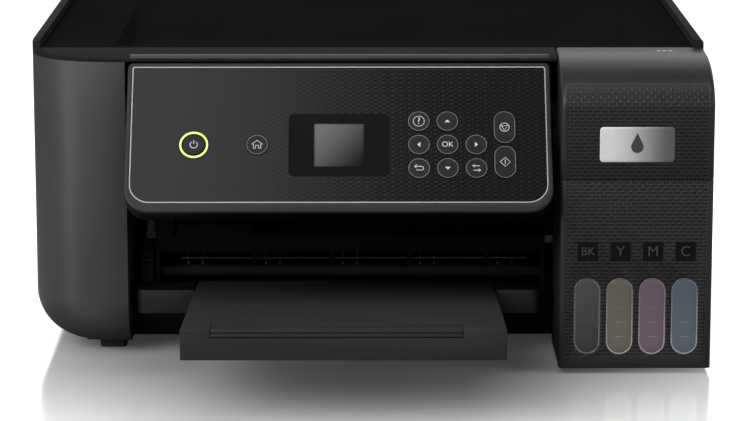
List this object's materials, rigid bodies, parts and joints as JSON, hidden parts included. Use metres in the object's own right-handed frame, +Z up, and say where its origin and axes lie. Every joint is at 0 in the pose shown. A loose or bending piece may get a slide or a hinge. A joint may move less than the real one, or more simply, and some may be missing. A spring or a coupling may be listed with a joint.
{
  "type": "inkjet printer",
  "caption": "Flat-bed all-in-one inkjet printer with refillable ink tanks at the front right, a tilting control panel, a sliding output tray and a rear sheet feeder.",
  "frame": {"origin": "on the table, under the middle of the printer's bounding box with the output tray partly pulled out", "axes": "+Z up, -Y towards the user at the front with the panel and tray, +X to the right as seen from the front, where the ink tanks are"},
  "size_m": [0.375, 0.457, 0.179],
  "materials": {
    "cover_black": "fine moulded grain, satin black",
    "base_black": "plain dark moulding",
    "tank_black": "black with fine offset dashes and smooth borders",
    "lid_black": "satin black with a smooth recess",
    "panel_edge": "semi-gloss dark frame",
    "panel_face": "dark grey with fine diamond rows",
    "key_black": "semi-gloss dark keys",
    "key_print": "light grey printed lines",
    "key_ring": "lit pale lime ring",
    "screen_glass": "grey display window",
    "screen_bezel": "gloss black",
    "trim_light": "light moulded edge",
    "badge_silver": "satin silver foil",
    "label_print": "light printed marks",
    "tank_resin": "translucent smoke resin",
    "ink_black": "smoked window over black ink",
    "ink_yellow": "smoked window, warm grey",
    "ink_magenta": "smoked window, mauve grey",
    "ink_cyan": "smoked window, blue grey",
    "cap_soft": "soft stoppers",
    "tray_dark": "fine grain dark moulding",
    "rubber_black": "matt rubber",
    "roller_rubber": "grey grip rubber on a steel shaft",
    "gear_white": "acetal",
    "steel": "ground steel",
    "sheet_steel": "zinc coated sheet",
    "motor_case": "plated motor can",
    "belt_rubber": "toothed belt",
    "glass": "clear float glass",
    "pad_white": "white foam backing",
    "board_green": "solder mask",
    "supply_case": "black power supply case"
  },
  "bodies": {
    "case": {"base_tray": "base_black", "rubber_feet": "rubber_black", "left_cover": "cover_black", "right_cover": "cover_black", "rear_cover": "cover_black", "tank_front_panel": "tank_black", "ink_tanks": "tank_resin", "star_wheel_holder": "base_black", "platen": "base_black", "carriage_rod": "steel", "carriage_beam": "sheet_steel", "carriage_motor": "motor_case", "carriage_belt": "belt_rubber", "maintenance_station": "base_black", "feed_motor": "motor_case", "hopper": "base_black", "main_board": "board_green", "power_supply": "supply_case"},
    "scanner_unit": {"scanner_bezel": "cover_black", "scanner_tub": "base_black", "scan_glass": "glass"},
    "lid": {"document_cover": "lid_black", "lid_pad": "pad_white"},
    "scan_head": {"scan_bar": "base_black"},
    "panel": {"panel_frame": "panel_edge", "panel_plate": "panel_face", "lcd_screen": "screen_glass"},
    "tray": {"tray_main": "tray_dark"},
    "tray_slide": {"tray_extension": "tray_dark"},
    "paper_stop": {"tray_stopper": "tray_dark"},
    "tank_lid": {"tank_cover": "tank_black"},
    "cap_black": {"tank_cap_black": "cap_soft"},
    "cap_yellow": {"tank_cap_yellow": "cap_soft"},
    "cap_magenta": {"tank_cap_magenta": "cap_soft"},
    "cap_cyan": {"tank_cap_cyan": "cap_soft"},
    "print_carriage": {"carriage": "base_black", "print_head": "sheet_steel"},
    "belt_pulley": {"drive_pulley": "gear_white"},
    "feed_shaft": {"feed_roller": "roller_rubber"},
    "eject_shaft": {"eject_roller": "roller_rubber"},
    "idler": {"idler_gear": "gear_white"},
    "motor_gear": {"motor_pinion": "steel"},
    "star_shaft": {"star_wheels": "steel"},
    "pickup": {"pickup_roller": "roller_rubber"},
    "guide_left": {"edge_guide_left": "tray_dark"},
    "guide_right": {"edge_guide_right": "tray_dark"},
    "support": {"paper_support": "tray_dark"},
    "feeder_flap": {"feeder_cover": "cover_black"},
    "key_power": {"button_power": "key_black"},
    "key_home": {"button_home": "key_black"},
    "key_help": {"button_help": "key_black"},
    "key_up": {"button_up": "key_black"},
    "key_left": {"button_left": "key_black"},
    "key_ok": {"button_ok": "key_black"},
    "key_right": {"button_right": "key_black"},
    "key_back": {"button_back": "key_black"},
    "key_down": {"button_down": "key_black"},
    "key_settings": {"button_settings": "key_black"},
    "key_stop": {"button_stop": "key_black"},
    "key_start": {"button_start": "key_black"}
  },
  "joints": [
    {"name": "scanner_lift", "type": "hinge", "parent": "case", "child": "scanner_unit", "pos_m": [0, 0.1855, 0.172], "axis": [-1, 0, 0], "range_deg": [0, 20]},
    {"name": "lid_hinge", "type": "hinge", "parent": "scanner_unit", "child": "lid", "pos_m": [0, 0.1785, 0.163], "axis": [-1, 0, 0], "range_deg": [0, 80]},
    {"name": "scan_travel", "type": "slide", "parent": "scanner_unit", "child": "scan_head", "axis": [1, 0, 0], "range_m": [0, 0.31]},
    {"name": "panel_tilt", "type": "hinge", "parent": "case", "child": "panel", "pos_m": [0, -0.0795, 0.1628], "axis": [1, 0, 0], "range_deg": [-9, 36]},
    {"name": "press_power", "type": "slide", "parent": "panel", "child": "key_power", "axis": [0, 0.809, -0.5878], "range_m": [0, 0.0008], "stiffness_N_per_m": 300},
    {"name": "press_home", "type": "slide", "parent": "panel", "child": "key_home", "axis": [0, 0.809, -0.5878], "range_m": [0, 0.0008], "stiffness_N_per_m": 300},
    {"name": "press_help", "type": "slide", "parent": "panel", "child": "key_help", "axis": [0, 0.809, -0.5878], "range_m": [0, 0.0008], "stiffness_N_per_m": 300},
    {"name": "press_up", "type": "slide", "parent": "panel", "child": "key_up", "axis": [0, 0.809, -0.5878], "range_m": [0, 0.0008], "stiffness_N_per_m": 300},
    {"name": "press_left", "type": "slide", "parent": "panel", "child": "key_left", "axis": [0, 0.809, -0.5878], "range_m": [0, 0.0008], "stiffness_N_per_m": 300},
    {"name": "press_ok", "type": "slide", "parent": "panel", "child": "key_ok", "axis": [0, 0.809, -0.5878], "range_m": [0, 0.0008], "stiffness_N_per_m": 300},
    {"name": "press_right", "type": "slide", "parent": "panel", "child": "key_right", "axis": [0, 0.809, -0.5878], "range_m": [0, 0.0008], "stiffness_N_per_m": 300},
    {"name": "press_back", "type": "slide", "parent": "panel", "child": "key_back", "axis": [0, 0.809, -0.5878], "range_m": [0, 0.0008], "stiffness_N_per_m": 300},
    {"name": "press_down", "type": "slide", "parent": "panel", "child": "key_down", "axis": [0, 0.809, -0.5878], "range_m": [0, 0.0008], "stiffness_N_per_m": 300},
    {"name": "press_settings", "type": "slide", "parent": "panel", "child": "key_settings", "axis": [0, 0.809, -0.5878], "range_m": [0, 0.0008], "stiffness_N_per_m": 300},
    {"name": "press_stop", "type": "slide", "parent": "panel", "child": "key_stop", "axis": [0, 0.809, -0.5878], "range_m": [0, 0.0008], "stiffness_N_per_m": 300},
    {"name": "press_start", "type": "slide", "parent": "panel", "child": "key_start", "axis": [0, 0.809, -0.5878], "range_m": [0, 0.0008], "stiffness_N_per_m": 300},
    {"name": "tray_travel", "type": "slide", "parent": "case", "child": "tray", "axis": [0, -0.9962, 0.0872], "range_m": [-0.152, 0.02]},
    {"name": "tray_extend", "type": "slide", "parent": "tray", "child": "tray_slide", "axis": [0, -0.9962, 0.0872], "range_m": [0, 0.06]},
    {"name": "stopper_flip", "type": "hinge", "parent": "tray_slide", "child": "paper_stop", "pos_m": [0, -0.22827, 0.04967], "axis": [1, 0, 0], "range_deg": [0, 80]},
    {"name": "tank_cover_hinge", "type": "hinge", "parent": "case", "child": "tank_lid", "pos_m": [0.146, -0.1185, 0.108], "axis": [1, 0, 0], "range_deg": [0, 85]},
    {"name": "cap_hinge_black", "type": "hinge", "parent": "case", "child": "cap_black", "pos_m": [0.1197, -0.0685, 0.1012], "axis": [-1, 0, 0], "range_deg": [0, 100]},
    {"name": "cap_hinge_yellow", "type": "hinge", "parent": "case", "child": "cap_yellow", "pos_m": [0.1374, -0.0685, 0.1012], "axis": [-1, 0, 0], "range_deg": [0, 100]},
    {"name": "cap_hinge_magenta", "type": "hinge", "parent": "case", "child": "cap_magenta", "pos_m": [0.1551, -0.0685, 0.1012], "axis": [-1, 0, 0], "range_deg": [0, 100]},
    {"name": "cap_hinge_cyan", "type": "hinge", "parent": "case", "child": "cap_cyan", "pos_m": [0.1728, -0.0685, 0.1012], "axis": [-1, 0, 0], "range_deg": [0, 100]},
    {"name": "carriage_travel", "type": "slide", "parent": "case", "child": "print_carriage", "axis": [1, 0, 0], "range_m": [-0.205, 0]},
    {"name": "pulley_spin", "type": "hinge", "parent": "case", "child": "belt_pulley", "pos_m": [0.165, 0.0805, 0.112], "axis": [0, 1, 0], "continuous": true},
    {"name": "feed_spin", "type": "hinge", "parent": "case", "child": "feed_shaft", "pos_m": [0, 0.0535, 0.0385], "axis": [1, 0, 0], "continuous": true},
    {"name": "eject_spin", "type": "hinge", "parent": "case", "child": "eject_shaft", "pos_m": [0, -0.0305, 0.0385], "axis": [1, 0, 0], "continuous": true},
    {"name": "idler_spin", "type": "hinge", "parent": "case", "child": "idler", "pos_m": [-0.125, 0.0115, 0.0385], "axis": [1, 0, 0], "continuous": true},
    {"name": "pinion_spin", "type": "hinge", "parent": "case", "child": "motor_gear", "pos_m": [-0.125, 0.0775, 0.0385], "axis": [1, 0, 0], "continuous": true},
    {"name": "star_spin", "type": "hinge", "parent": "case", "child": "star_shaft", "pos_m": [0, -0.0305, 0.046], "axis": [1, 0, 0], "continuous": true},
    {"name": "pickup_spin", "type": "hinge", "parent": "case", "child": "pickup", "pos_m": [0, 0.14729, 0.0727], "axis": [1, 0, 0], "continuous": true},
    {"name": "guide_travel", "type": "slide", "parent": "case", "child": "guide_right", "axis": [1, 0, 0], "range_m": [-0.055, 0]},
    {"name": "guide_left_travel", "type": "slide", "parent": "case", "child": "guide_left", "axis": [1, 0, 0], "range_m": [0, 0.055]},
    {"name": "support_raise", "type": "slide", "parent": "case", "child": "support", "axis": [0, 0.1392, 0.9903], "range_m": [0, 0.074]},
    {"name": "feeder_flap_hinge", "type": "hinge", "parent": "case", "child": "feeder_flap", "pos_m": [0, 0.189, 0.179], "axis": [-1, 0, 0], "range_deg": [-120, 0]}
  ],
  "couplings": [
    {"joint": "pulley_spin", "follows": "carriage_travel", "rad_per_m": -135.14},
    {"joint": "eject_spin", "follows": "feed_spin", "ratio": 1},
    {"joint": "idler_spin", "follows": "feed_spin", "ratio": -0.75},
    {"joint": "pinion_spin", "follows": "feed_spin", "ratio": -3},
    {"joint": "star_spin", "follows": "feed_spin", "ratio": -0.9722},
    {"joint": "guide_left_travel", "follows": "guide_travel", "ratio": -1}
  ]
}
